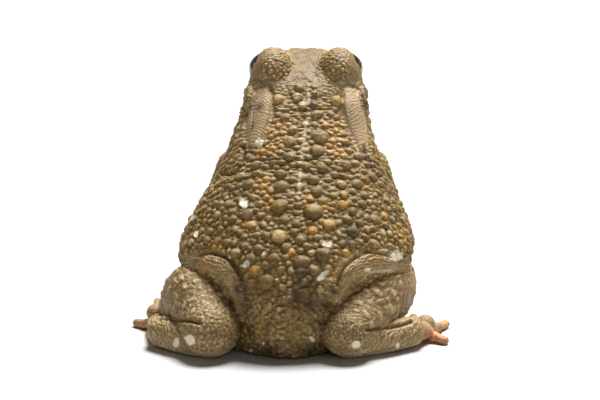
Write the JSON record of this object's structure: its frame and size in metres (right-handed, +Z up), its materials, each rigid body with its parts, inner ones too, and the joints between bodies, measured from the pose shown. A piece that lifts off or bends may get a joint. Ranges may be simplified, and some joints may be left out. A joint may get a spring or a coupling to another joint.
{
  "type": "square-marked toad",
  "caption": "Life-size still model of a warty square-marked toad that sits upright on its haunches, hands planted ahead.",
  "frame": {"origin": "middle of the floor under the model's bounding box", "axes": "+Z up, +Y the way the toad faces, +X to the toad's right; the belly, hands and feet rest on z = 0"},
  "size_m": [0.0998, 0.0864, 0.0845],
  "materials": {
    "skin": "dry warty skin, brown above and cream below",
    "gland": "paler, finely ridged skin",
    "eye": "wet and glossy, bronze iris with a level pupil",
    "eardrum": "thin smooth skin",
    "digits": "finely grained skin, orange-pink beneath"
  },
  "bodies": {
    "root": {"head": "skin", "torso": "skin", "parotoid_left": "gland", "parotoid_right": "gland", "eye_left": "eye", "eye_right": "eye", "tympanum_left": "eardrum", "tympanum_right": "eardrum", "upper_arm_left": "skin", "upper_arm_right": "skin", "forearm_left": "skin", "forearm_right": "skin", "hand_left": "digits", "hand_right": "digits", "thigh_left": "skin", "thigh_right": "skin", "shank_left": "skin", "shank_right": "skin", "tarsus_left": "skin", "tarsus_right": "skin", "foot_left": "digits", "foot_right": "digits"}
  },
  "joints": []
}
